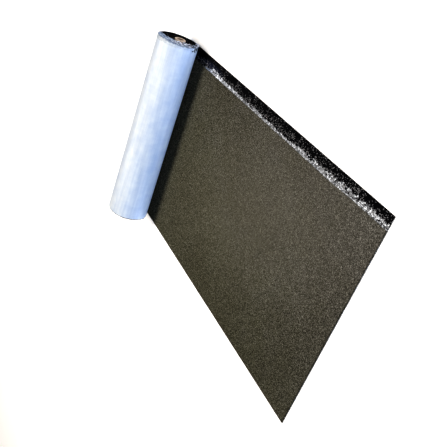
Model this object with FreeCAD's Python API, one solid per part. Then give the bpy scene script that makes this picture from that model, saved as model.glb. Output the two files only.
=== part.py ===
# Roll of mineral-surfaced waterproofing membrane, partly unrolled on a floor.
# The coil lies on its side, its axis along Y, and the loose end runs out flat along +X.
# Sizes are in millimetres. The origin is the middle of the footprint, on the floor.

import FreeCAD, Part
import math
import os

# Sheet
sheet_width = 1000.0          # from the plain edge at -Y to the selvedge edge at +Y
sheet_thickness = 4.0         # from the underside of the film to the top of the granules
film_thickness = 0.5          # stands in for a release film of a few hundredths
tail_length = 1528.0          # flat sheet, from the line where it leaves the coil

# Coil
coil_diameter = 216.0         # over the film
core_diameter = 54.0
core_wall = 10.0
core_reach = 6.0              # the core stands this far out of each end
core_drop = 16.0              # the core lies this far below the coil's centre
core_clearance = 0.1
turn_gap = 0.8                # seam between two turns where they lie tight, seen on the ends
turn_gap_depth = 5.0
nip_gap = 0.3                 # the closest that the coil comes to the tail in front of it

# Selvedge, the bare strip that the next sheet laps over
selvedge_width = 64.0
granule_depth = 0.8           # the granules stand this far above the selvedge
strip_width = 24.0            # film strip beside the granules
strip_thickness = 0.4
strip_setback = 22.0          # from the line under the coil to the end of the strip

# Film folded over the selvedge end of the coil
fold_width = 52.0             # at its widest
fold_overlap = 20.0           # how far its inner edge passes the coil on the side without a fold
fold_direction = 50.0         # degrees from +X towards +Z, where it is widest

# Sizes that follow from the ones above
coil_radius = coil_diameter / 2
core_radius = core_diameter / 2
sheet_body = sheet_thickness - film_thickness
half_width = sheet_width / 2
seam_y = half_width - selvedge_width
core_z = coil_radius - core_drop
bore_radius = core_radius + core_clearance

# The spiral's turns lie tight below the core and slack above it.
# Each turn is two half circles whose ends are on the vertical line x = 0.
room_below = core_z - bore_radius
room_above = coil_diameter - core_z - bore_radius
turns = int((room_below - 2 * turn_gap) / sheet_thickness)
last_turn = room_below - turns * sheet_thickness
slack_pitch = (room_above - last_turn) / turns
turn_edge = sheet_thickness - turn_gap
slack_gap = slack_pitch - turn_edge

# The inner half circle in front, where the coil meets the tail again
front_radius = (coil_diameter - sheet_thickness) / 2
front_z = coil_diameter - front_radius
nip_angle = math.acos(1 - nip_gap / front_radius)

# Everything is drawn with x = 0 where the tail leaves the coil, then moved to the footprint's middle.
middle_x = (tail_length - coil_radius) / 2


def point(x, z, y=0.0):
    return FreeCAD.Vector(x - middle_x, y, z)


def around(x, z, radius, degrees, y=0.0):
    # A point on a circle, the angle counted from +X towards +Z.
    angle = math.radians(degrees)
    return point(x + radius * math.cos(angle), z + radius * math.sin(angle), y)


def line(start, end):
    return Part.makeLine(start, end)


def back_arc(low, high, y=0.0):
    # Half circle behind the line x = 0, from its low end to its high end.
    middle = (low + high) / 2
    bulge = point(-(high - low) / 2, middle, y)
    return Part.Arc(point(0, low, y), bulge, point(0, high, y)).toShape()


def front_arc(high, low, y=0.0):
    # Half circle in front of the line x = 0, from its high end to its low end.
    middle = (low + high) / 2
    bulge = point((high - low) / 2, middle, y)
    return Part.Arc(point(0, high, y), bulge, point(0, low, y)).toShape()


def nip_point(radius, y=0.0):
    return around(0, front_z, radius, math.degrees(nip_angle) - 90, y)


def front_arc_to_nip(radius, y=0.0):
    # The front arc, stopped where it comes within the nip gap of the tail.
    start = point(0, front_z + radius, y)
    bulge = around(0, front_z, radius, 0, y)
    return Part.Arc(start, bulge, nip_point(radius, y)).toShape()


def extrude(edges, length):
    face = Part.Face(Part.Wire(edges))
    return face.extrude(FreeCAD.Vector(0, length, 0))


def single(shape):
    return shape.removeSplitter().Solids[0]


def sheet_length(top, y, length):
    # The sheet in section: the tail with its upper face at the given height, and the whole coil.
    inside_radius = front_radius - film_thickness
    foot = point((front_z - top) * math.tan(nip_angle), top, y)
    edges = [
        line(point(tail_length, film_thickness, y), point(0, film_thickness, y)),
        back_arc(film_thickness, coil_diameter - film_thickness, y),
        front_arc_to_nip(inside_radius, y),
        line(nip_point(inside_radius, y), foot),
        line(foot, point(tail_length, top, y)),
        line(point(tail_length, top, y), point(tail_length, film_thickness, y)),
    ]
    return extrude(edges, length)


def spiral(low_inset, high_inset, y):
    # One side of the seam between the turns, drawn further in by an inset below and one above.
    edges = []
    for turn in range(1, turns):
        low = turn * sheet_thickness + low_inset
        high = coil_diameter - turn * slack_pitch - high_inset
        next_low = (turn + 1) * sheet_thickness + low_inset
        edges.append(back_arc(low, high, y))
        edges.append(front_arc(high, next_low, y))
    return edges


def turn_seam(y):
    # A groove that starts in the nip and winds in to the last turn before the core.
    # Between its turns the sheet's edge keeps one thickness, so the groove is wider above the core.
    mouth_x = front_radius * math.tan(nip_angle) * 2
    outer_low = sheet_thickness
    inner_low = sheet_thickness + turn_gap
    outer_end = turns * sheet_thickness
    inner_end = outer_end + turn_gap
    edges = [line(point(mouth_x, outer_low, y), point(0, outer_low, y))]
    edges += spiral(0.0, 0.0, y)
    edges.append(line(point(0, outer_end, y), point(0, inner_end, y)))
    edges += reversed(spiral(turn_gap, slack_gap, y))
    edges.append(line(point(0, inner_low, y), point(mouth_x, inner_low, y)))
    edges.append(line(point(mouth_x, inner_low, y), point(mouth_x, outer_low, y)))
    wire = Part.Wire(Part.__sortEdges__(edges))
    return Part.Face(wire).extrude(FreeCAD.Vector(0, turn_gap_depth, 0))


def membrane():
    granule_part = sheet_length(sheet_thickness, -half_width, sheet_width - selvedge_width)
    selvedge_part = sheet_length(sheet_thickness - granule_depth, seam_y, selvedge_width)
    body = granule_part.fuse(selvedge_part)
    bore = Part.makeCylinder(bore_radius, sheet_width, point(0, core_z, -half_width), FreeCAD.Vector(0, 1, 0))
    body = body.cut(bore)
    for y in (-half_width, half_width - turn_gap_depth):
        body = body.cut(turn_seam(y))
    return single(body)


def film_fold():
    # A crescent of film that lies on the end of the coil.
    outline = [
        back_arc(0, coil_diameter, half_width),
        front_arc(coil_diameter, sheet_thickness, half_width),
        line(point(0, sheet_thickness, half_width), point(0, 0, half_width)),
    ]
    end_disc = extrude(outline, film_thickness)
    shift = (fold_width + fold_overlap) / 2
    clear_radius = coil_radius - (fold_width - fold_overlap) / 2
    centre = around(0, coil_radius, shift, fold_direction + 180, half_width)
    clear = Part.makeCylinder(clear_radius, film_thickness, centre, FreeCAD.Vector(0, 1, 0))
    return end_disc.cut(clear)


def release_film():
    # One sheet of film: under the tail, up the back of the coil, over it and down to the nip.
    y = -half_width
    inside_radius = front_radius - film_thickness
    edges = [
        line(point(tail_length, 0, y), point(0, 0, y)),
        back_arc(0, coil_diameter, y),
        front_arc_to_nip(front_radius, y),
        line(nip_point(front_radius, y), nip_point(inside_radius, y)),
        front_arc_to_nip(inside_radius, y),
        back_arc(film_thickness, coil_diameter - film_thickness, y),
        line(point(0, film_thickness, y), point(tail_length, film_thickness, y)),
        line(point(tail_length, film_thickness, y), point(tail_length, 0, y)),
    ]
    wrap = extrude(edges, sheet_width)
    return single(wrap.fuse(film_fold()))


def selvedge_film():
    length = tail_length - strip_setback
    corner = point(strip_setback, sheet_thickness - granule_depth, seam_y)
    return Part.makeBox(length, strip_width, strip_thickness, corner)


def core_tube():
    length = sheet_width + 2 * core_reach
    base = point(0, core_z, -half_width - core_reach)
    axis = FreeCAD.Vector(0, 1, 0)
    outside = Part.makeCylinder(core_radius, length, base, axis)
    inside = Part.makeCylinder(core_radius - core_wall, length, base, axis)
    return outside.cut(inside)


parts = {
    "membrane": membrane(),
    "release_film": release_film(),
    "selvedge_film": selvedge_film(),
    "core_tube": core_tube(),
}

os.makedirs("parts", exist_ok=True)
for name, shape in parts.items():
    shape.exportStep("parts/" + name + ".step")
    box = shape.BoundBox
    print(name, "valid", shape.isValid(), "solids", len(shape.Solids), "litres", round(shape.Volume / 1e6, 2))
    print("  x", round(box.XMin, 2), round(box.XMax, 2), "y", round(box.YMin, 2), round(box.YMax, 2),
          "z", round(box.ZMin, 2), round(box.ZMax, 2))
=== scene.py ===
# %% [markdown]
# # A roll of waterproofing membrane, partly unrolled
# The roll is one long bitumen sheet. Its top is covered with mineral granules, its underside with a
# thin blue film, and a bare strip, the selvedge, runs along one edge. It is wound on a cardboard core
# with the granules inside, so the coil shows the film and the flat part shows the granules.
# The lesson makes the wound sheet, the film round it, under it and between its turns, the torn film
# on its end, the crinkled strip beside the granules, and the core. Each is a surface worked out with
# numpy. All sizes are in metres. The end of the coil with the selvedge is called the near end.

import bpy
import numpy as np
from mathutils import Matrix, Vector


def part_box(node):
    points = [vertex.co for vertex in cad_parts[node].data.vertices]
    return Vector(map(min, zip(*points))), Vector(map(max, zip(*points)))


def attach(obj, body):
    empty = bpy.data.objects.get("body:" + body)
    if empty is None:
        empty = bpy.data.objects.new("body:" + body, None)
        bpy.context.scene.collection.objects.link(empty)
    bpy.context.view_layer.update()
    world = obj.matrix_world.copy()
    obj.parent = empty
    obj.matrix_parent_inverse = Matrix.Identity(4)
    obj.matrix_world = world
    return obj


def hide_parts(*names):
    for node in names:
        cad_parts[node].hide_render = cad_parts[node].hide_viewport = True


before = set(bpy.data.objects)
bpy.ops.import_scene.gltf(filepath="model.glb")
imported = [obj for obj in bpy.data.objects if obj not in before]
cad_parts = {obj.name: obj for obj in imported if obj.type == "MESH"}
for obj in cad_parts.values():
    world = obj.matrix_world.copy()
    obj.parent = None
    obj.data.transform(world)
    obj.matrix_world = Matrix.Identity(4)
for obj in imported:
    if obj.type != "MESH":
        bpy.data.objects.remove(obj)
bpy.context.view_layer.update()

sheet_low, sheet_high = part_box("membrane")
core_low, core_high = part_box("core_tube")
half_width = sheet_high.y

# %% [markdown]
# ## The camera
# A picture taken from above and from the side shows the flat sheet as a diamond. The camera stands
# about 2.7 m away and 1.5 m up, and is turned on its side by a quarter turn, so that "up" in the
# room is left in the picture. Its place is given by a point, a target on the floor and that turn.

# %% The camera
camera_place = Vector((1.8600, 1.2017, 1.4717))
camera_target = Vector((0.0068, -0.0929, 0.0))
quarter_turn = Matrix.Rotation(np.radians(-90.0), 3, "Z")
sensor_width_mm = 36.0
focal_length_mm = 46.98

lens = bpy.data.cameras.new("camera")
lens.sensor_width = sensor_width_mm
lens.lens = focal_length_mm
camera = bpy.data.objects.new("camera", lens)
looking = camera_target - camera_place
facing = looking.to_track_quat("-Z", "Y").to_matrix() @ quarter_turn
camera.matrix_world = Matrix.Translation(camera_place) @ facing.to_4x4()
bpy.context.scene.collection.objects.link(camera)
bpy.context.scene.camera = camera
print("camera:", round(looking.length, 2), "m away, looking down",
      round(float(np.degrees(np.arcsin(-looking.normalized().z))), 1), "degrees")

# %% [markdown]
# ## Putting numpy surfaces into Blender
# Every piece here is thin: a sheet, a film, a strip, a tube wall. So one helper is enough. It takes
# two grids of points of the same size, one on each face of the piece, and joins them along every
# free edge with a narrow band, which gives a closed shell. It can leave squares out, for film that
# is torn or has holes. The faces of a closed shell point outwards when its signed volume is
# positive, so the helper measures that and turns them all round if it isn't.

# %% Helpers: a closed shell, a mesh
def shell_squares(rows, columns, kept=None):
    """The squares of two grids, as four point numbers each, and the band between their free edges.
    An edge is free if no other square runs along it the other way."""
    number = np.arange(rows * columns).reshape(rows, columns)
    corners = [number[:-1, :-1], number[1:, :-1], number[1:, 1:], number[:-1, 1:]]
    front = np.stack(corners, -1).reshape(-1, 4)
    if kept is not None:
        front = front[kept.ravel()]
    start, end = front.ravel(), np.roll(front, -1, 1).ravel()
    count = rows * columns
    free = ~np.isin(start * count + end, end * count + start)
    start, end = start[free], end[free]
    band = np.stack([end, start, start + count, end + count], -1)
    return np.concatenate([front, front[:, ::-1] + count, band])


def volume(points, squares):
    """The signed volume inside closed faces: a sixth of each triangle's triple product, added up."""
    a, b, c, d = (points[squares[:, k]] for k in range(4))
    return float(np.sum(a * np.cross(b, c)) + np.sum(a * np.cross(c, d))) / 6


def turned_outwards(points, squares):
    """The same squares, all turned round if the volume inside them comes out negative."""
    return squares[:, ::-1] if volume(points, squares) < 0 else squares


def make_piece(name, points, squares, material, slot, uv=None, **values):
    """A mesh object from whole arrays, with a UV map and named values at its points."""
    used, squares = np.unique(turned_outwards(points, squares), return_inverse=True)
    points, squares = points[used], squares.reshape(-1, 4)
    mesh = bpy.data.meshes.new(name)
    mesh.from_pydata(points, [], squares)
    mesh.polygons.foreach_set("use_smooth", np.ones(len(squares), bool))
    if uv is not None:
        layer = mesh.uv_layers.new(name="along_and_across")
        layer.data.foreach_set("uv", uv[used][squares.ravel()].ravel())
    for title, value in values.items():
        value = np.asarray(value, np.float32).ravel()[used]
        mesh.attributes.new(title, "FLOAT", "POINT").data.foreach_set("value", value)
    mesh.materials.append(material)
    piece = bpy.data.objects.new(name, mesh)
    bpy.context.scene.collection.objects.link(piece)
    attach(piece, "root")
    print(f"{name}: {2 * len(squares):,} triangles")
    return piece


def make_shell(name, face, back, material, slot, uv=None, kept=None, **values):
    """A closed shell between two grids of points. uv and a value may be given for one grid."""
    points = np.concatenate([face.reshape(-1, 3), back.reshape(-1, 3)])
    squares = shell_squares(*face.shape[:2], kept)
    uv = None if uv is None else np.tile(uv.reshape(-1, 2), (2, 1))
    grid = face.shape[:2]
    for title, value in values.items():
        if np.size(value) < len(points):
            values[title] = np.tile(np.broadcast_to(value, grid).ravel(), 2)
    return make_piece(name, points, squares, material, slot, uv, **values)


# %% [markdown]
# Real sheet is never perfectly even. Three helpers give that: a smooth step from one state to
# another, smooth noise, which is a table of random numbers blended between its cells, and the
# direction that a grid faces at each point, which lets a surface be pushed in or out. The tables
# have fixed seeds, so every run gives the same roll. A place in metres is multiplied by the number
# of cells in a metre, so 90 stands for bumps of about a centimetre.

# %% Helpers: a smooth step, smooth noise, the way a grid faces
cells_in_table = 256


def smooth_step(value, low, high):
    """0 below low, 1 above high, and 3t^2 - 2t^3 in between."""
    t = np.clip((value - low) / (high - low), 0, 1)
    return t * t * (3 - 2 * t)


def smooth_noise(u, v, seed):
    """Random values from -1 to 1 at whole u and v, blended between with the weight 3t^2 - 2t^3."""
    table = np.random.default_rng(seed).uniform(-1, 1, (cells_in_table, cells_in_table))
    i, j = np.floor(u).astype(int), np.floor(v).astype(int)
    s, t = smooth_step(u - i, 0, 1), smooth_step(v - j, 0, 1)
    i0, i1 = i % cells_in_table, (i + 1) % cells_in_table
    j0, j1 = j % cells_in_table, (j + 1) % cells_in_table
    low = table[i0, j0] * (1 - s) + table[i1, j0] * s
    high = table[i0, j1] * (1 - s) + table[i1, j1] * s
    return low * (1 - t) + high * t


def facing_of(grid):
    """The unit normal at each point: the cross product of the grid's two directions."""
    along, across = np.gradient(grid, axis=0), np.gradient(grid, axis=1)
    normal = np.cross(along, across)
    return normal / np.maximum(np.linalg.norm(normal, axis=-1, keepdims=True), 1e-12)


# %% [markdown]
# ## Materials
# A material is a small tree of nodes. The helper below only saves typing: each of its methods adds a
# node and gives back its output. An input that is given another node's output is linked, and a plain
# value is set on the input itself. Patterns are laid out in metres too, so a noise of scale 300 has
# grains of about 3 mm.

# %% Helper: a finish made of nodes
class Finish:
    """A node material in the making."""

    def __init__(self, name):
        self.material = bpy.data.materials.new(name)
        self.material.use_nodes = True
        self.tree = self.material.node_tree
        self.shader = self.tree.nodes["Principled BSDF"]

    def set_inputs(self, node, inputs):
        for title, value in inputs.items():
            if isinstance(value, bpy.types.NodeSocket):
                self.tree.links.new(value, node.inputs[title])
            else:
                node.inputs[title].default_value = value
        return node

    def add(self, kind, inputs=(), **settings):
        node = self.tree.nodes.new("ShaderNode" + kind)
        for title, value in settings.items():
            setattr(node, title, value)
        return self.set_inputs(node, dict(inputs))

    def place(self):
        """The place on the object, from its Object coordinates."""
        return self.add("TexCoord").outputs["Object"]

    def axes(self, place):
        return self.add("SeparateXYZ", {0: place}).outputs

    def stored(self, name):
        """A value that is stored at the mesh's points."""
        return self.add("Attribute", attribute_name=name).outputs["Fac"]

    def maths(self, operation, *values, clamp=False):
        node = self.add("Math", dict(enumerate(values)), operation=operation, use_clamp=clamp)
        return node.outputs[0]

    def times(self, a, b):
        return self.maths("MULTIPLY", a, b)

    def plus(self, a, b, clamp=False):
        return self.maths("ADD", a, b, clamp=clamp)

    def times_plus(self, value, factor, term):
        return self.maths("MULTIPLY_ADD", value, factor, term)

    def span(self, value, low, high, at_low, at_high, smooth=False):
        """A number that goes from at_low to at_high while the value goes from low to high."""
        inputs = {0: value, 1: low, 2: high, 3: at_low, 4: at_high}
        kind = "SMOOTHSTEP" if smooth else "LINEAR"
        return self.add("MapRange", inputs, interpolation_type=kind).outputs[0]

    def blended(self, share, a, b):
        """Two numbers mixed."""
        return self.add("Mix", {0: share, 2: a, 3: b}, data_type="FLOAT").outputs[0]

    def mixed(self, share, a, b, blend="MIX"):
        """Two colours mixed."""
        node = self.add("Mix", {0: share, 6: a, 7: b}, data_type="RGBA", blend_type=blend)
        return node.outputs[2]

    def tinted(self, colour, tint):
        """Two colours multiplied."""
        return self.mixed(1.0, colour, tint, "MULTIPLY")

    def brighter(self, colour, factor):
        return self.add("VectorMath", {0: colour, "Scale": factor}, operation="SCALE").outputs[0]

    def ramp(self, value, *stops):
        """A colour ramp through (position, colour) stops, where a single number is a grey."""
        node = self.add("ValToRGB", {0: value})
        elements = node.color_ramp.elements
        while len(elements) < len(stops):
            elements.new(0.5)
        for element, (position, colour) in zip(elements, stops):
            element.position = position
            element.color = (*np.broadcast_to(colour, 3), 1.0)
        return node.outputs[0]

    def noise(self, place, scale, detail=2.0, roughness=0.5):
        inputs = {"Vector": place, "Scale": scale, "Detail": detail, "Roughness": roughness}
        return self.add("TexNoise", inputs).outputs[0]

    def cells(self, place, scale):
        """A pattern of cells: a random shade for each one, and the distance to its middle."""
        node = self.add("TexVoronoi", {"Vector": place, "Scale": scale})
        shade = self.add("SeparateColor", {0: node.outputs["Color"]}).outputs[0]
        return shade, node.outputs["Distance"]

    def stretched(self, place, scale):
        return self.add("Mapping", {"Vector": place, "Scale": scale}).outputs[0]

    def away_from(self, place, middle, reach, turned=0.0):
        """The distance from a middle, counted so that it is 1 on an ellipse of that reach."""
        inputs = {"Vector": place, "Location": middle, "Rotation": (0, 0, turned), "Scale": reach}
        inside = self.add("Mapping", inputs, vector_type="TEXTURE").outputs[0]
        return self.add("VectorMath", {0: inside}, operation="LENGTH").outputs["Value"]

    def bump(self, strength, depth, height):
        inputs = {"Strength": strength, "Distance": depth, "Height": height}
        return self.add("Bump", inputs).outputs[0]

    def done(self, colour, roughness, shine=0.5, bump=None):
        """The material, with its colour, roughness, specular level and bump on the shader."""
        inputs = {"Base Color": colour, "Roughness": roughness, "Specular IOR Level": shine}
        if bump is not None:
            inputs["Normal"] = bump
        self.set_inputs(self.shader, inputs)
        return self.material


# %% [markdown]
# ### Granules and bitumen
# The granules are crushed slate pressed into hot bitumen: chips of 1 to 2 mm, dark olive and grey,
# each of its own shade, with black between them. Cells of a Voronoi pattern are such chips: the
# cell's colour gives the shade and the distance to its middle gives the bump. Slow noise adds the
# browner and greener patches of a real sheet. The sheet is greyer towards its selvedge and its free
# end, has a painted sheen along a slanting line, and has lost some granules along its cut edges.
# The same sheet is bare and black on the selvedge, with pale flecks, partly crushed film and partly
# painted glints. A value stored at the mesh's points, with noise added, says where the granules stop.

# %% The sheet's material
chip_scale, clump_scale, fleck_and_glint_scale, dimple_scale = 560.0, 170.0, 430.0, 150.0
# The colour of the painted sheen on the granules
painted_sheen_colour = (0.162, 0.154, 0.128, 1.0)
# The colour of the pale flecks on the bitumen: partly crushed film, partly painted glints
fleck_and_glint_colour = (0.24, 0.24, 0.25, 1.0)


def granule_colour(finish, place, axes, shade):
    """The chips' shades, olive or grey, with clumps, slow patches, dust and worn edges."""
    olive = finish.ramp(
        shade, (0.0, (0.0146, 0.0139, 0.0088)), (0.35, (0.0416, 0.0397, 0.0268)),
        (0.75, (0.0852, 0.0823, 0.0590)), (1.0, (0.1970, 0.1930, 0.1550)))
    grey = finish.ramp(
        shade, (0.0, (0.011, 0.0103, 0.0088)), (0.35, (0.043, 0.0404, 0.0340)),
        (0.75, (0.092, 0.0872, 0.0762)), (1.0, (0.250, 0.2415, 0.2180)))
    greyness = finish.plus(finish.times(axes[1], 1.1), finish.times(axes[0], 0.62))
    greyness = finish.times_plus(greyness, 1.0, -0.20)
    patch = finish.times(finish.noise(place, 9.0, 3.0), 0.8)
    granules = finish.mixed(finish.plus(greyness, patch, clamp=True), olive, grey)
    # Clumps of a few millimetres, and slow patches
    clump = finish.ramp(finish.noise(place, clump_scale), (0.3, 0.60), (0.7, 1.40))
    slow = finish.ramp(finish.noise(place, 3.2), (0.3, (0.92, 0.91, 0.89)), (0.7, (1.08, 1.09, 1.11)))
    granules = finish.tinted(finish.tinted(granules, clump), slow)
    # Painted sheen: paler along a slanting line from the middle of the sheet to its free end, a little
    # darker further from it
    dust = finish.away_from(place, (0.30, 0.17, 0.0), (2.0, 1.0, 1.0), 0.47)
    granules = finish.tinted(granules, finish.ramp(dust, (0.30, 1.08), (0.66, (0.86, 0.86, 0.85))))
    granules = finish.mixed(finish.span(dust, 0.0, 0.48, 0.26, 0.0, smooth=True), granules, painted_sheen_colour)
    # Along the cut edges some granules are lost, and bitumen shows between the rest
    to_side = finish.times_plus(axes[1], 1.0, half_width)
    to_end = finish.times_plus(axes[0], -1.0, sheet_high.x)
    to_edge = finish.maths("MINIMUM", to_side, to_end)
    return finish.brighter(granules, finish.span(to_edge, 0.001, 0.007, 0.45, 1.0))


def bitumen_colour(finish, place, axes):
    """Black, with flecks of crushed film and painted glints, more towards the free end and beside the
    strip.
    """
    # Pale flecks: partly crushed film, partly painted glints
    fleck_and_glint_cell, _ = finish.cells(place, fleck_and_glint_scale)
    patchy = finish.times(finish.noise(place, 34.0), 0.40)
    chance = finish.times_plus(finish.plus(finish.times(axes[0], 0.055), patchy), 1.0, -0.190)
    chance = finish.plus(chance, finish.span(axes[1], 0.446, 0.478, 0.13, 0.0))
    shows = finish.maths("GREATER_THAN", finish.plus(fleck_and_glint_cell, chance), 0.97)
    # Beside the coil the bitumen is painted a little blue: a painted reflection of the blue film above it
    painted_reflection_reach = finish.away_from(place, (-0.49, 0.464, 0.0), (0.14, 0.022, 1.0))
    black = finish.ramp(painted_reflection_reach, (0.1, (0.0090, 0.0115, 0.0250)), (1.0, (0.0028, 0.0029, 0.0036)))
    return finish.mixed(shows, black, fleck_and_glint_colour)


def sheet_material():
    finish = Finish("granules_and_bitumen")
    place = finish.place()
    axes = finish.axes(place)
    shade, from_middle = finish.cells(place, chip_scale)
    granules = granule_colour(finish, place, axes, shade)
    bitumen = bitumen_colour(finish, place, axes)
    # Where the granules stop
    ragged = finish.times_plus(finish.noise(place, 300.0), 0.5, -0.25)
    mask = finish.maths("GREATER_THAN", finish.plus(finish.stored("granules"), ragged), 0.5)
    # Height: rounded chips on the granules, soft dimples on the bitumen
    chip_height = finish.maths("SUBTRACT", 1.0, from_middle)
    dimples = finish.times(finish.noise(place, dimple_scale, 3.0), 0.6)
    bump = finish.bump(0.8, 0.0012, finish.blended(mask, dimples, chip_height))
    rough = finish.blended(mask, 0.75, 0.9)
    return finish.done(finish.mixed(mask, bitumen, granules), rough, 0.03, bump)


sheet_finish = sheet_material()
print("finish:", sheet_finish.name)

# %% [markdown]
# ### Release film
# The film is a few hundredths of a millimetre of light-blue plastic, drawn tight over the coil. It
# shines softly, and its fine wrinkles run along the coil. So its pattern follows the film itself:
# the UV map holds the distance along the sheet and the place across it, both in metres, and most of
# the noise is stretched along the coil. Three values stored at its points say where it is dusty and
# greyer on the upper side, partly dust and partly a painted highlight, where a band of painted light
# makes it paler along the upper front, and where it is turned in over the end of the coil: there it
# is darker and duller, partly bitumen smeared on it and partly painted shade.

# %% The film's material
streak_scale, thread_scale, fine_scale = (46.0, 2.6, 1.0), (150.0, 5.0, 1.0), (300.0, 22.0, 1.0)
ring_scale, cloud_scale = (7.0, 75.0, 1.0), (30.0, 20.0, 1.0)


def film_material():
    finish = Finish("release_film")
    uv = finish.add("UVMap", uv_map="along_and_across").outputs[0]
    streak, thread, fine = (
        finish.noise(finish.stretched(uv, scale), 1.0, 3.0)
        for scale in (streak_scale, thread_scale, fine_scale))
    ring, cloud = (
        finish.noise(finish.stretched(uv, scale), 1.0, 3.0, 0.6) for scale in (ring_scale, cloud_scale))
    clean = finish.ramp(streak, (0.25, (0.350, 0.470, 0.72)), (0.75, (0.425, 0.545, 0.80)))
    # Dust and painted highlight: greyer and less blue on the upper side
    dusty = finish.ramp(streak, (0.25, (0.400, 0.447, 0.515)), (0.75, (0.470, 0.517, 0.580)))
    blue = finish.mixed(finish.stored("dusty"), clean, dusty)
    for pattern, low, high in (
            (cloud, (0.87, 0.90, 0.96), (1.10, 1.07, 1.02)),
            (ring, (0.98, 0.98, 0.99), (1.02, 1.02, 1.01)),
            (thread, (0.91, 0.93, 0.96), (1.09, 1.07, 1.03))):
        blue = finish.tinted(blue, finish.ramp(pattern, (0.3, low), (0.7, high)))
    # Painted light: up to 12 per cent paler along the upper front
    blue = finish.brighter(blue, finish.times_plus(finish.stored("clouded"), 0.12, 1.0))
    height = finish.plus(finish.times(streak, 0.9), finish.times(ring, 0.2))
    height = finish.plus(height, finish.times(thread, 0.8))
    height = finish.plus(height, finish.times(fine, 0.5))
    # The turned-in part: darker and duller, partly bitumen smear and partly painted shade
    turned_in = finish.stored("turned_in")
    smear_and_shade_mottle = finish.noise(finish.stretched(finish.place(), (0.35, 1.0, 1.0)), 150.0, 3.0, 0.65)
    smear_and_painted_shade = finish.ramp(
        smear_and_shade_mottle, (0.38, (0.20, 0.23, 0.27)), (0.50, (0.46, 0.47, 0.46)), (0.63, (0.92, 0.87, 0.78)))
    colour = finish.mixed(turned_in, blue, finish.tinted(blue, smear_and_painted_shade))
    rough = finish.times_plus(turned_in, 0.26, 0.54)
    return finish.done(colour, rough, 0.75, finish.bump(0.35, 0.002, height))


film_finish = film_material()
print("finish:", film_finish.name)

# %% [markdown]
# Where the film is torn and crushed on the end of the coil, every crease breaks the light, and its
# colour is painted with that light: paler than the film that lies flat, a painted highlight, almost
# white, on the creases, and a lavender tone and painted shade in its hollows.

# %% The crushed film's material
def crushed_material():
    finish = Finish("crushed_film")
    crease = finish.noise(finish.stretched(finish.place(), (0.35, 1.0, 1.0)), 280.0, 3.0, 0.6)
    # Painted shade in the hollows, painted highlight on the creases
    pale = finish.ramp(
        crease, (0.42, (0.06, 0.07, 0.14)), (0.49, (0.34, 0.40, 0.58)), (0.56, (0.80, 0.87, 1.0)))
    return finish.done(pale, 0.3, bump=finish.bump(0.6, 0.001, crease))


crushed_finish = crushed_material()
print("finish:", crushed_finish.name)

# %% [markdown]
# ### Selvedge strip
# The strip of film beside the granules is clear and crumpled. Each little crease throws back the
# light, and the colour paints that in: a ramp from the black bitumen that shows through to almost
# white creases, a painted highlight on each, so it looks like silver foil with dark gaps. Its bump
# is made of the same noise.

# %% The strip's material
def strip_material():
    finish = Finish("crinkled_strip")
    place = finish.place()
    axes = finish.axes(place)
    crease = finish.noise(finish.stretched(place, (0.55, 1.0, 1.0)), 230.0, 3.0, 0.65)
    # Painted highlights on the creases, black bitumen between them
    painted_glints_on_black = finish.ramp(
        crease, (0.40, (0.045, 0.047, 0.052)), (0.50, (0.17, 0.18, 0.195)), (0.61, (0.64, 0.67, 0.72)))
    # Brighter and duller patches of a centimetre or two, and a bright stretch where the strip starts
    patch = finish.noise(place, 85.0, 2.0, 0.6)
    painted_glints_on_black = finish.tinted(painted_glints_on_black, finish.ramp(patch, (0.42, (0.42, 0.42, 0.43)), (0.60, 1.40)))
    painted_glints_on_black = finish.brighter(painted_glints_on_black, finish.span(axes[0], -0.40, -0.20, 1.55, 1.0, smooth=True))
    # Beside the coil the strip is painted darker and bluer: painted shade of the coil, and a painted
    # reflection of the blue film above it
    painted_shade_and_reflection = finish.span(axes[0], -0.53, -0.45, 1.0, 0.0, smooth=True)
    painted_glints_on_black = finish.mixed(painted_shade_and_reflection, painted_glints_on_black, finish.tinted(painted_glints_on_black, (0.17, 0.21, 0.29, 1.0)))
    return finish.done(painted_glints_on_black, 0.30, bump=finish.bump(0.7, 0.0015, crease))


strip_finish = strip_material()
print("finish:", strip_finish.name)

# %% [markdown]
# ### Cardboard
# The core is wound from strips of brown board, so its cut end shows rings, and its bore is darker
# and greyer: painted shade. Both come from the distance to the tube's axis, which is worked out from
# Object coordinates moved to that axis.

# %% The core's material
core_x = (core_low.x + core_high.x) / 2
core_z = (core_low.z + core_high.z) / 2
core_radius = (core_high.z - core_low.z) / 2
ply_waves = 5200.0


def board_material():
    finish = Finish("core_board")
    to_axis = {"Vector": finish.place(), "Location": (-core_x, 0.0, -core_z)}
    centred = finish.add("Mapping", to_axis).outputs[0]
    axes = finish.axes(centred)
    squared = finish.plus(finish.times(axes[0], axes[0]), finish.times(axes[2], axes[2]))
    radius = finish.maths("SQRT", squared)
    plies = finish.maths("SINE", finish.times(radius, ply_waves))
    fibre = finish.noise(finish.stretched(centred, (1.0, 0.35, 1.0)), 520.0, 4.0, 0.6)
    shade = finish.plus(finish.times(plies, 0.10), fibre)
    board = finish.ramp(
        shade, (0.30, (0.33, 0.26, 0.21)), (0.55, (0.52, 0.43, 0.36)), (0.80, (0.64, 0.55, 0.475)))
    # Painted shade in the bore: darker and greyer inside the tube
    share = finish.maths("DIVIDE", radius, core_radius)
    inside = finish.ramp(share, (0.635, (0.42, 0.40, 0.38)), (0.665, 1.0))
    return finish.done(finish.tinted(board, inside), 0.85, bump=finish.bump(0.5, 0.0006, shade))


board_finish = board_material()
print("finish:", board_finish.name)

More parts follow.
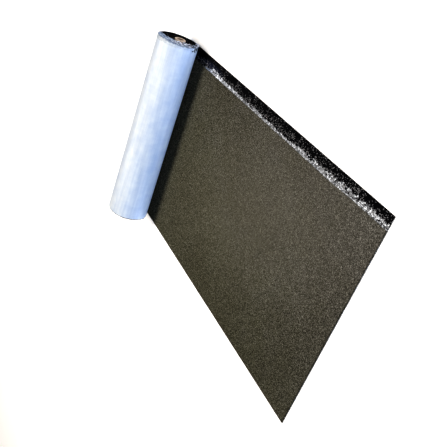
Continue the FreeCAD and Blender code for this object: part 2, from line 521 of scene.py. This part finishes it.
# %% [markdown]
# ## Where the sheet goes
# Seen from its end, the sheet is one line: it runs in from the free end along the floor, passes
# under the coil, and winds up the back, over the top and down the front, turn after turn, to the
# core. Each turn lies 4 mm above the last at the bottom, where the weight presses the turns
# together, and a little more below it at the top, where they are slack. So the line is a spiral
# whose circles shrink and sink as it goes inwards, and its tangent runs straight into the flat part.
# The bare selvedge is thinner than the rest, so its turns sit closer together, and the coil is a
# little lower at that end. It is also a little wider than high, because it sags under its own
# weight, and its outer turns were wound a degree askew. Points of this line are complex numbers,
# x + z i, because then a turn is one multiplication.

# %% The line of the sheet
coil_x = sheet_low.x + sheet_high.z / 2
tail_length = sheet_high.x - coil_x
height_selvedge_end, height_plain_end = 0.2105, 0.2215
height_innermost = 0.1271
sag = 1.012
skew = 0.018
turns = 15
turn_rise = 0.0040


def wound(turn, y):
    """The line after some turns inwards from the floor, and the way to the inside of the coil.
    The circle touches the heights bottom = rise * turn and top, which falls evenly from the coil's
    height to the innermost turn's. The point has gone so many turns round from the bottom, up the
    back first, so the way inwards is i * e^(-2 pi i turn)."""
    height = height_plain_end + (height_selvedge_end - height_plain_end) * (y / half_width + 1) / 2
    bottom = turn_rise * turn
    top = height - (height - height_innermost) * np.maximum(turn - 0.5, 0) / (turns - 0.5)
    inward = 1j * np.exp(-2j * np.pi * turn)
    out = -(top - bottom) / 2 * inward
    middle = coil_x + skew * y * (1 - turn / turns) + 1j * (top + bottom) / 2
    return middle + sag * out.real + 1j * out.imag, inward + 0 * y


def flat(distance, y):
    """The line along the floor, so far from the coil, and the way up."""
    return coil_x + distance + skew * y * (1 - distance / tail_length) + 0j, 1j + 0 * distance + 0 * y


def in_space(line, y):
    """Points in space from the line, x + z i, and the place across the sheet."""
    return np.stack([line.real, y + 0 * line.real, line.imag], -1)


line = wound(np.linspace(0, turns, 3000), 0.0)[0]
length_wound = float(np.sum(np.abs(np.diff(line))))
print(f"sheet: {length_wound:.2f} m wound and {tail_length:.3f} m flat")

# %% [markdown]
# A roll that has been carried and dragged has turns that have slid along each other. Three short
# functions of the turn say by how much, and the sheet and the film both follow them.

# %% How the turns have slid
outer_slide, inner_hollow = 0.0028, 0.0034
pressed_in, stands_out = 0.0048, 0.0065


def drift(turn):
    """How far a turn has slid along the core: the coil's end is askew, like its axis, its outer turn
    stands out towards the near end, and the turns inside the third lie a little deeper."""
    askew = skew * height_selvedge_end / 2 * np.sin(2 * np.pi * turn)
    slid = outer_slide * smooth_step(turn, 0, 0.3) - inner_hollow * smooth_step(turn, 1.0, 3.0)
    return askew + slid + 0.0004 * smooth_noise(turn * 2.3, 0 * turn, 11) * smooth_step(turn, 0.1, 1.5)


def set_back(turn):
    """How far the outer turns are pressed in at the near end, on the front of the coil."""
    front = smooth_step(np.cos(2 * np.pi * (turn - 0.736)), 0.35, 1.0)
    return pressed_in * front * smooth_step(turn, 0.3, 0.5) * (1 - smooth_step(turn, 1.2, 4.0))


def far_corner(turn):
    """How far the outer turn stands out at the far end, with a peak on the lower front."""
    return stands_out * np.maximum(0, 1 - np.abs(turn - 0.856) / 0.10)


print("pressed in at the near end by up to", round(float(set_back(np.array(0.736))), 4), "m")

# %% [markdown]
# ## The sheet
# A sheet like this could be a flat plane bent by a curve modifier. Here it is cheaper to work out:
# its cross-section is a row of points across the underside and a row across the top, and both rows
# are carried along the line. The top row is 4 mm up on the granules and 3.2 mm up on the selvedge.
# The edges are a little rounded, the coil's edges wander by a millimetre, and the flat part is very
# slightly uneven, as a sheet that has just been unrolled is.

# %% The rows of the sheet: where they lie across and along it
sheet_thickness = 0.0040
granule_depth = 0.0008
seam_y = 0.436
steps_in_a_turn = 50
edge_band = (0.45, 0.495)
edge_wander = 0.0007


def seam_shift(distance):
    """How much further the granules reach towards the edge, in the last part before the free end."""
    return 0.0062 * smooth_step(distance, 1.15, 1.42)


stations = np.concatenate([
    half_width * np.array([-1, -0.9992, -0.996, -0.985]), np.linspace(-0.47, seam_y - 0.03, 23),
    seam_y + np.array([-0.012, -0.002, -0.0006, 0.0006, 0.002, 0.012]),
    half_width * np.array([0.92, 0.95, 0.975, 0.99, 0.996, 0.9992, 1])])
on_edge = np.abs(stations) >= half_width
coated = stations < seam_y

turn = np.linspace(turns, 0, turns * steps_in_a_turn + 1)[:, None]
distance = np.linspace(0, tail_length - 0.004, 250)[1:]
distance = np.append(distance, tail_length - np.array([0.0015, 0.0004, 0.0]))[:, None]
along = np.concatenate([-turn * length_wound / turns, distance])
turn_there = np.concatenate([turn, 0 * distance])

side = 7 * np.sign(stations) + 0 * along
wander = smooth_noise(along * 90, side, 3) + 0.8 * smooth_noise(along * 260, side, 4)
across = stations + drift(turn_there) - set_back(turn_there) * smooth_step(stations, *edge_band)
seam_moves = seam_shift(along) * (np.abs(stations - seam_y) < 0.013)
across = across + seam_moves - far_corner(turn_there) * smooth_step(-stations, *edge_band)
across = across + edge_wander * wander * (np.abs(stations) > 0.49) * (turn_there > 0.05)
print("sheet: rows of", len(stations), "points at", len(along), "places along it")

# %% The wound sheet
film_gap = 0.00025
edge_chamfer = 0.0005
flare_depth = 0.0010

line, inward = (np.concatenate(pair) for pair in zip(
    wound(turn, across[:len(turn)]), flat(distance, across[len(turn):])))
flare = smooth_noise(along * 130, 3 * stations, 9)
flare = flare * smooth_step(stations, 0.488, 0.5) * smooth_step(turn_there, 0.15, 0.4)
line = line + flare_depth * flare * inward

uneven = 0.00022 * smooth_noise(along * 9, across * 8, 5)
uneven = uneven + 0.00012 * smooth_noise(along * 40, across * 30, 6)
uneven = uneven * smooth_step(along, 0.05, 0.25) * ~on_edge
last_row = np.arange(len(along))[:, None] == len(along) - 1
ragged_cut = -0.0004 * last_row * np.abs(smooth_noise(across * 60, 0 * across, 8))
chamfer = edge_chamfer * (on_edge | last_row)
top = sheet_thickness - granule_depth * ~coated + uneven - chamfer
underside = in_space(line + ragged_cut + inward * (film_gap + chamfer), across)
topside = in_space(line + ragged_cut + inward * top, across)
coat = np.concatenate([np.zeros(across.size), np.broadcast_to(coated, across.shape).ravel()])
sheet = make_shell("wound_sheet", underside, topside, sheet_finish, "membrane", granules=coat)
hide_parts("membrane")

# %% [markdown]
# ## The film on the coil
# The film is as wide as the sheet. At the near end it sticks out and is folded down over the end of
# the coil, as a crescent that is widest on the upper front, and at the far end it stops short of the
# sheet's black edge. It is one surface. Its rows go round the coil, and each row runs along it:
# round the far rim, straight to the near rim, round that, and inwards over the end by the width of
# the fold at that angle. A sheet that is folded inwards on a circle has too much length, so it
# stands up in pleats, which get deeper inwards. At the back there is no fold, and the black edge of
# the sheet stands out past the film.

# %% The rows of the film, round the coil and over its rims
film_thickness = 0.00012
rim_near, rim_far = 0.0065, 0.0032
film_sticks_out, film_set_back = 0.0060, 0.0034
film_lies_out = 0.0006
widest_at = 38


def angle_of(turn):
    """The angle round the coil in degrees, from straight ahead, +X, towards the top.
    The outer turn runs from 270, the bottom, over the back at 180 to -90, the bottom again."""
    return 270 - 360 * turn


def over_rim(radius, length, share_corner, share_flat):
    """Places on a quarter circle of that radius and then straight inwards by that length.
    Both shares run from 0 to 1. Gives the reach along the coil and the depth inwards."""
    bend = np.pi / 2 * share_corner
    reach, depth = radius * np.sin(bend), radius * (1 - np.cos(bend))
    return (np.concatenate([reach, radius + 0 * (length * share_flat)], 1),
            np.concatenate([depth, radius + length * share_flat], 1))


turn = np.linspace(1.0, 0.0, 341)[:, None]
along = -turn * length_wound / turns
angle = angle_of(turn)
lifted = smooth_step(turn, 0.0, 0.07) * smooth_step(1 - turn, 0.0, 0.07)
folds = smooth_step(turn, 0.33, 0.42) * smooth_step(1 - turn, 0.02, 0.09)

fold_width = 0.016 + 0.037 * np.cos(np.radians(angle - widest_at))
uneven_width = 0.0050 * smooth_noise(along * 75, 0 * angle, 21) * (fold_width > 0.006)
fold_width = np.maximum(fold_width, 0.003) + uneven_width
tuck_width = 0.003 + 0.0012 * smooth_noise(along * 60, 0 * angle, 22)
corner = np.linspace(0, 1, 6)[None, 1:]
straight = np.concatenate([np.linspace(0, 0.93, 50), np.linspace(0.93, 1, 25)[1:]])[None]
near_flat, far_flat = np.linspace(0, 1, 27)[None, 1:], np.linspace(0, 1, 5)[None, 1:]
near_free, far_free = np.maximum(folds, 0.02), np.maximum(lifted, 0.02)
near_reach, near_depth = over_rim(rim_near * near_free, fold_width * near_free, corner, near_flat)
far_reach, far_depth = over_rim(rim_far * far_free, tuck_width * far_free, corner, far_flat)
near_start = half_width + drift(turn) - set_back(turn) + film_lies_out
near_start = near_start + (film_sticks_out - film_lies_out - rim_near) * near_free
far_start = -half_width - far_corner(turn) + (film_set_back + rim_far) * far_free
between = far_start + (near_start - far_start) * straight
across = np.concatenate([(far_start - far_reach)[:, ::-1], between, near_start + near_reach], 1)
depth = np.concatenate([far_depth[:, ::-1], 0 * between, near_depth], 1)
not_folded = far_reach.shape[1] + straight.size + corner.size
folded = np.concatenate([np.zeros(not_folded), near_flat[0]])[None]
print("film: the fold is up to", round(float(fold_width.max()), 3), "m wide")

# %% [markdown]
# Fine wrinkles along the coil stand out by a few tenths of a millimetre, more beside the near rim.
# Beside the floor the near rim has been dragged over the ground, and is torn there.

# %% The film on the coil
wrinkle_height, fine_height, gather_height = 0.00010, 0.00003, 0.0011
pleat_height, crumple_height, fold_sunk = 0.0026, 0.0009, 0.0008

from_above = np.sin(np.radians(angle))
at_near_end = across > 0
length = along + 0 * across
gather = smooth_step(across, 0.44, 0.50) * smooth_step(np.cos(np.radians(angle + 30)), 0.3, 0.9)
wrinkle = wrinkle_height * (1 + smooth_noise(length * 70, across * 3, 31))
wrinkle = wrinkle + fine_height * (1 + smooth_noise(length * 260, across * 10, 32))
gathered = gather_height * (1 + smooth_noise(length * 90 + across * 60, across * 50, 33))
wrinkle = (wrinkle + gather * gathered) * lifted
pleats = 1 - np.abs(smooth_noise(length * 110 + 3 * folded, 2 * folded, 41))
crumple = smooth_noise(length * 200, folded * 9, 42)
stand_off = pleat_height * pleats ** 2 + crumple_height * crumple - fold_sunk
stand_off = folded * stand_off * near_free
line, inward = wound(turn, across)
skin = in_space(line + inward * (depth - wrinkle * (folded == 0)), across + stand_off)
skin[..., 2] = np.maximum(skin[..., 2], 0)

middle_row = skin[len(turn) // 2]
steps_across = np.linalg.norm(np.diff(middle_row, axis=0), axis=-1)
across_film = np.concatenate([[0], np.cumsum(steps_across)]) - half_width
film_uv = np.stack([length, across_film + 0 * across], -1)

tear = smooth_noise(length * 150, folded * 14, 43) + 0.6 * smooth_noise(length * 420, folded * 40, 44)
nip = smooth_step(across, 0.472, 0.488) * smooth_step(np.cos(np.radians(angle + 58)), 0.66, 0.90)
scuffs = smooth_noise(length * 230, across * 230, 45)
scuffs = scuffs + 0.5 * smooth_noise(length * 90, across * 90, 46)
whole = (tear < 2.2 - 1.9 * folded) & (scuffs < 1.5 - 1.85 * nip)

# Where the film is turned in over the end, and in the nip by the floor: partly bitumen smear, partly
# painted shade
turned_in = np.maximum(smooth_step(depth, -0.004, rim_near) * (across > 0.49), 0.7 * nip)
turned_in = turned_in * (1 + 0.35 * smooth_step(from_above, 0.75, 1.0)) * at_near_end
# Dust and painted highlight on the upper side, but not where the film is turned in
dusty = smooth_step(from_above, -0.15, 0.95) * (1 - smooth_step(depth, 0.0, rim_near) * at_near_end)
# A band of painted light along the upper front, strongest 40 degrees up
clouded_at, clouded_reach = 40, 22
clouded = np.exp(-((angle - clouded_at) / clouded_reach) ** 2) * (angle < 90)
film = make_shell("film_on_coil", skin, skin + film_thickness * facing_of(skin), film_finish,
                  "release_film", film_uv, kept=whole[:-1, :-1],
                  turned_in=turned_in, dusty=dusty, clouded=clouded)
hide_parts("release_film")

# %% [markdown]
# ## The film under the tail
# Under the flat part the film is a plain flat layer, flush with the sheet's edges. It is seen only
# from below and as a pale hairline at the cut edge.

# %% The film under the tail
under_side = half_width - 0.0004
distance, across = np.meshgrid(
    np.linspace(0, tail_length - 0.0006, 12), np.linspace(-under_side, under_side, 9), indexing="ij")
under = np.stack([coil_x + distance, across, 0 * across], -1)
make_shell("film_under_tail", under, under + [0, 0, film_thickness], film_finish, "release_film",
           np.stack([distance, across], -1))

# %% [markdown]
# ## The film between the turns
# The same film lies between all the inner turns. There it ends a millimetre inside the sheet's
# edges, so at the ends of the coil it only shows as a faint line in the black seam of the spiral.

# %% The film between the turns
inside_edge = 0.0010
turn = np.linspace(turns, 1.0, (turns - 1) * 60 + 1)[:, None]
along = -turn * length_wound / turns
ends = half_width * np.array([[-1, -0.98, 0.98, 1]])
across = ends + drift(turn) - np.sign(ends) * inside_edge
line, inward = wound(turn, across)
ribbon = in_space(line + inward * 0.0001, across)
make_shell("film_between_turns", ribbon, ribbon + film_thickness * facing_of(ribbon), film_finish,
           "release_film", np.stack([along + 0 * across, across], -1))

# %% [markdown]
# ## Crushed film on the end
# Inside the fold the ends of the inner films stick out, torn and crushed flat on the black edges.
# They are one more surface over the near end, strongly crumpled, with every square left out where
# slow noise is low: what stays is flakes and shreds, round the front of the core and on the rim low
# in front.

# %% Crushed film on the end
inner_radius, outer_radius = 0.029, 0.100
lies_out, lies_further_out = 0.0014, 0.0044
fold_height, crush_height = 0.0016, 0.0005

angle, radius = np.meshgrid(
    np.radians(np.linspace(-86, 96, 300)), np.linspace(0.027, 0.104, 92), indexing="ij")
outer_share = (radius - inner_radius) / (outer_radius - inner_radius)
crushed_x = coil_x + skew * half_width * outer_share + radius * np.cos(angle)
crushed_z = core_z + 0.011 * outer_share + radius * np.sin(angle)
fold = 1 - np.abs(smooth_noise(crushed_x * 190, crushed_z * 190, 81))
crush = fold_height * fold ** 3
crush = crush + crush_height * smooth_noise(crushed_x * 420, crushed_z * 420, 82)
shreds = 0.5 * smooth_noise(crushed_x * 40, crushed_z * 85, 83)
shreds = shreds + smooth_noise(crushed_x * 90, crushed_z * 240, 84)
beside_core = smooth_step(np.cos(angle - 0.60), 0.10, 0.50)
beside_core = beside_core * (1 - 0.5 * smooth_step(outer_share, 0.6, 0.8))
on_rim = smooth_step(np.cos(angle + 0.85), 0.45, 0.80) * smooth_step(outer_share, 0.70, 0.85)
there = shreds > 1.05 - np.maximum(beside_core, on_rim)
crushed_y = half_width + lies_out + lies_further_out * smooth_step(outer_share, 0.25, 0.50) + crush
crushed = np.stack([crushed_x, crushed_y, crushed_z], -1)
make_shell("crushed_film", crushed, crushed - [0, 0.0001, 0], crushed_finish, "release_film",
           np.stack([crushed_x, crushed_z], -1), kept=there[:-1, :-1])

# %% [markdown]
# ## The strip on the selvedge
# The strip starts a little in front of the coil. It is straight where it meets the granules and torn
# and uneven on its outer side, and wider at both ends. Its creases are a few millimetres across and
# up to a millimetre high, with sharp ridges: the noise is folded at zero, which turns its smooth
# slopes into ridges.

# %% The strip on the selvedge
strip_start, strip_gap, strip_thickness = 0.135, 0.0002, 0.0001
crease_height = 0.0011

distance = np.linspace(strip_start, tail_length - 0.001, 1150)[:, None]
inner = seam_y + 0.0006 + seam_shift(distance)
inner = inner + 0.0006 * smooth_noise(distance * 80, 0 * distance, 63)
width = 0.013 + 0.003 * smooth_noise(distance * 14, 0 * distance, 61)
width = width + 0.012 * smooth_step(distance, 0.90, 1.20)
width = width + 0.010 * (1 - smooth_step(distance, 0.27, 0.40))
width = width * (0.15 + 0.85 * smooth_step(distance, 0.13, 0.27))
share = np.linspace(0, 1.5, 25)[None]
across = inner + width * share

torn = 1.0 + 0.28 * smooth_noise(distance * 130, across * 90, 66) - share
torn = torn + 0.22 * smooth_noise(distance * 320, across * 320, 67)
holes = smooth_noise(distance * 55, across * 150, 68)
holes = holes + 0.5 * smooth_noise(distance * 210, across * 260, 69)
there = (torn > 0) & (holes > -0.85 + 0.45 * share)
ridge = 1 - np.abs(smooth_noise(distance * 150, across * 330, 64))
ridge = ridge * (0.6 + 0.4 * smooth_noise(distance * 60, across * 90, 65))
ridge = ridge * np.sin(np.pi * np.clip(share / 1.2, 0.06, 0.94))
height = sheet_thickness - granule_depth + strip_gap + crease_height * ridge
creased = np.stack([coil_x + distance + 0 * across, across, height], -1)
strip = make_shell("selvedge_strip", creased, creased - [0, 0, strip_thickness], strip_finish,
                   "selvedge_film", kept=there[:-1, :-1])
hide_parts("selvedge_film")

# %% [markdown]
# ## The core
# The core is a plain board tube that stands a little out of each end. Its profile is carried round
# the axis: outside, over the end, back along the bore. The ends are slightly crushed, so the radius
# and the length vary by a few tenths of a millimetre. The profile and the way round both close on
# themselves, so the squares wrap round in both directions and there is no free edge.

# %% The core
core_wall = 0.010
outside = np.array([-0.9985, -0.98, -0.6, 0, 0.6, 0.98, 0.9985])
over_end = np.array([0.06, 0.5, 0.94])
profile_y = core_high.y * np.concatenate([outside, [1, 1, 1], -outside, [-1, -1, -1]])[None]
profile_r = np.concatenate([0 * outside, over_end, 1 + 0 * outside, over_end[::-1]])[None]
profile_r = core_radius - core_wall * profile_r

round_it = np.linspace(0, 2 * np.pi, 97)[:-1, None]
end_wear = 0.0003 * smooth_noise(round_it * 5, profile_r * 400, 71) * (np.abs(profile_y) > 0.49)
radius = profile_r + 0.0002 * smooth_noise(round_it * 3, profile_y * 5, 72)
tube_y = profile_y - np.abs(end_wear) * np.sign(profile_y)
tube = np.stack([core_x + radius * np.cos(round_it), tube_y, core_z + radius * np.sin(round_it)], -1)

number = np.arange(tube[..., 0].size).reshape(tube.shape[:2])
across_next, round_next = np.roll(number, -1, 1), np.roll(number, -1, 0)
squares = np.stack([number, across_next, np.roll(round_next, -1, 1), round_next], -1).reshape(-1, 4)
core = make_piece("board_core", tube.reshape(-1, 3), squares, board_finish, "core_tube")
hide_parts("core_tube")

# %% [markdown]
# ## Floor and light
# The floor is plain and pale. One long softbox hangs over the coil, a little behind it, so the coil
# drops a narrow dark band of shadow on the sheet in front of it. A low one far out in front keeps
# the film on the front of the coil bright, a small one at the side lights the near end, and a weak
# pale surrounding fills the rest.

# %% The floor
floor_side, floor_drop = 8.0, 0.0002


def floor_material():
    finish = Finish("pale_floor")
    tone = finish.ramp(finish.noise(finish.place(), 1.5), (0.3, 0.95), (0.7, 0.98))
    return finish.done(tone, 0.9, 0.1)


corners = [(x * floor_side, y * floor_side, -floor_drop) for x, y in ((-1, -1), (1, -1), (1, 1), (-1, 1))]
mesh = bpy.data.meshes.new("floor")
mesh.from_pydata(corners, [], [(0, 1, 2, 3)])
mesh.materials.append(floor_material())
floor = bpy.data.objects.new("floor", mesh)
bpy.context.scene.collection.objects.link(floor)
print("floor:", 2 * floor_side, "m square")


# %% The lights
def softbox(name, place, aim, width, height, power, colour):
    """A rectangular lamp at a place, facing a point, its width along Y."""
    lamp = bpy.data.lights.new(name, "AREA")
    lamp.shape = "RECTANGLE"
    lamp.size, lamp.size_y = width, height
    lamp.energy = power
    lamp.color = colour
    made = bpy.data.objects.new(name, lamp)
    away = (Vector(place) - Vector(aim)).normalized()
    third = away.cross(Vector((0, 1, 0))).normalized()
    level = third.cross(away).normalized()
    turned = Matrix((level, -third, away)).transposed()
    made.matrix_world = Matrix.Translation(place) @ turned.to_4x4()
    bpy.context.scene.collection.objects.link(made)
    print(f"{name}: {power:.0f} W")


softbox("softbox_above", place=(-3.00, 0.1, 7.80), aim=(-0.50, 0, 0.0),
        width=5.0, height=2.6, power=780.0, colour=(1.0, 0.95, 0.89))
softbox("softbox_front", place=(4.2, 0.25, 0.42), aim=(-0.60, 0, 0.1),
        width=3.0, height=0.5, power=158.0, colour=(0.965, 0.98, 0.985))
softbox("softbox_side", place=(0.20, 4.6, 0.75), aim=(-0.60, 0.5, 0.1),
        width=2.0, height=0.8, power=55.0, colour=(1.0, 0.98, 0.95))

surrounding = bpy.data.worlds.new("surrounding")
surrounding.use_nodes = True
background = surrounding.node_tree.nodes["Background"].inputs
background["Color"].default_value = (1.0, 0.98, 0.96, 1.0)
background["Strength"].default_value = 0.045
bpy.context.scene.world = surrounding
bpy.context.scene.view_settings.view_transform = "Standard"
bpy.context.scene.view_settings.look = "High Contrast"
